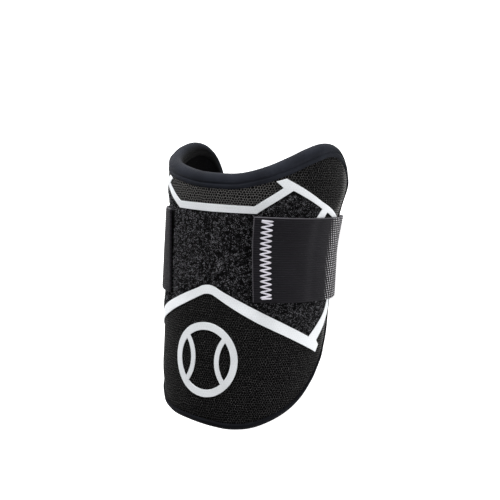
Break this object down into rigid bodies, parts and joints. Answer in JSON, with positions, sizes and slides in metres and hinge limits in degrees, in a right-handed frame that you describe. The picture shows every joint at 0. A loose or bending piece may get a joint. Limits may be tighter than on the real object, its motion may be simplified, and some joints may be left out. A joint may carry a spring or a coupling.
{
  "type": "baseball elbow guard",
  "caption": "Padded half-sleeve elbow guard with a knit cover, rolled edges, a pile panel, light stripes and an elastic strap that closes behind the arm.",
  "frame": {"origin": "middle of the guard's footprint, on the surface that its strap rests on", "axes": "+Z out of the front of the guard, +Y towards its upper end, +X to its right as seen from the front"},
  "size_m": [0.1074, 0.1648, 0.0898],
  "materials": {
    "jersey": "smooth stretch jersey over foam",
    "honeycomb_knit": "honeycomb knit",
    "loop_pile": "brushed loop pile",
    "elastic": "ribbed woven elastic",
    "white_film": "satin heat-bonded film",
    "hook_tape": "moulded hooks"
  },
  "bodies": {
    "root": {"padded_liner": "jersey", "knit_cover": "honeycomb_knit", "rolled_collar": "jersey", "edge_piping": "jersey", "loop_panel": "loop_pile", "upper_stripes": "white_film", "lower_stripes": "white_film", "ball_emblem": "white_film", "elastic_strap": "elastic", "hook_patch": "hook_tape", "strap_mark": "white_film"}
  },
  "joints": []
}
